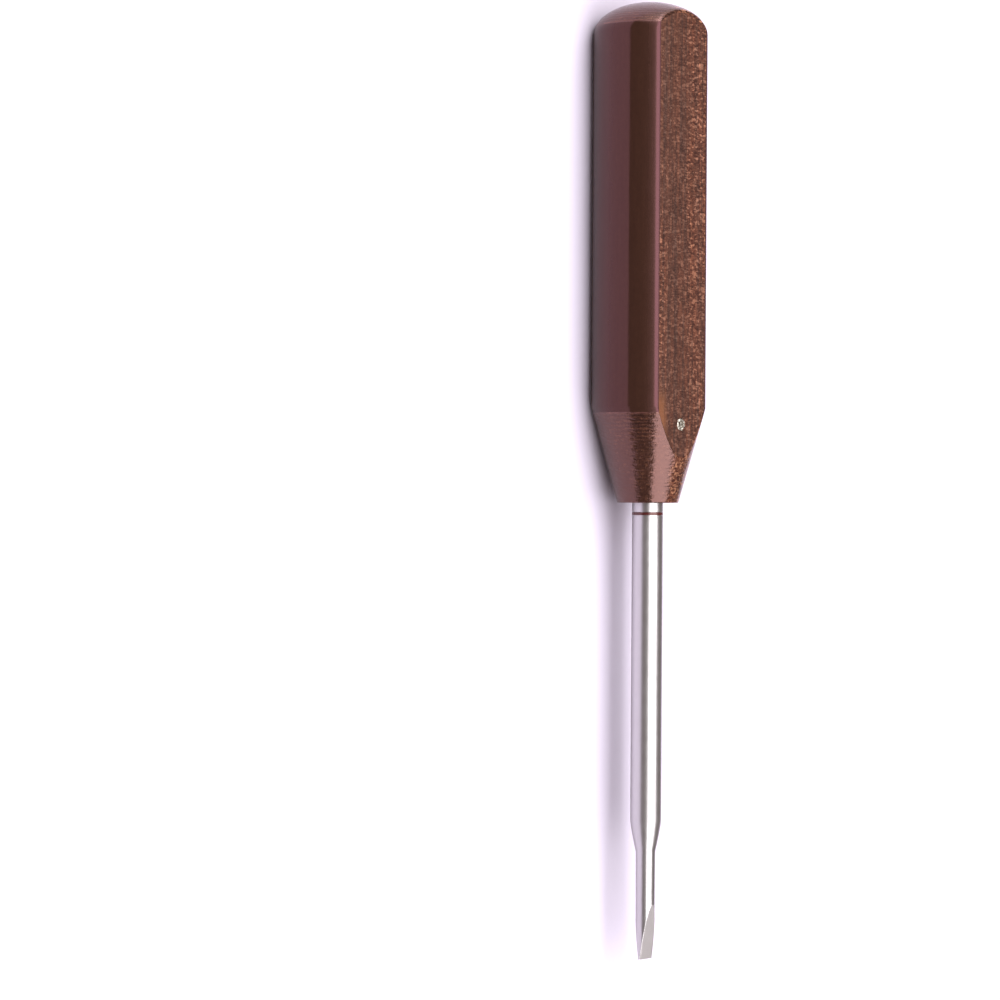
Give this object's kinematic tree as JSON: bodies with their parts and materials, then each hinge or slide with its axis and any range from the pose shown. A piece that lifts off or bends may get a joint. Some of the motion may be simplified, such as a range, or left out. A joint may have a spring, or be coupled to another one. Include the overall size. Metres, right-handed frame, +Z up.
{
  "type": "fixed-handle slotted screwdriver",
  "caption": "Slotted screwdriver: a laminate handle with parallel flats, pinned to a ground steel shaft with a coloured ring and a stepped neck to a wedge blade.",
  "frame": {"origin": "on the surface that the tool lies on, under the middle of its length and width", "axes": "+X along the tool's axis from the domed end of the handle to the blade's tip, +Z up from the lower flat to the upper flat, Y across the tool"},
  "size_m": [0.2, 0.024, 0.018],
  "materials": {
    "laminate": "fabric-reinforced phenolic laminate, dark glossy moulded skin, satin cloth pattern where it is turned and milled",
    "ground_steel": "stainless steel, finely ground and polished to a satin",
    "pin_steel": "stainless steel pin, ends dressed almost flush",
    "red_enamel": "red enamel filling a turned groove"
  },
  "bodies": {
    "root": {"handle": "laminate", "blade_shaft": "ground_steel", "cross_pin": "pin_steel", "colour_ring": "red_enamel"}
  },
  "joints": []
}
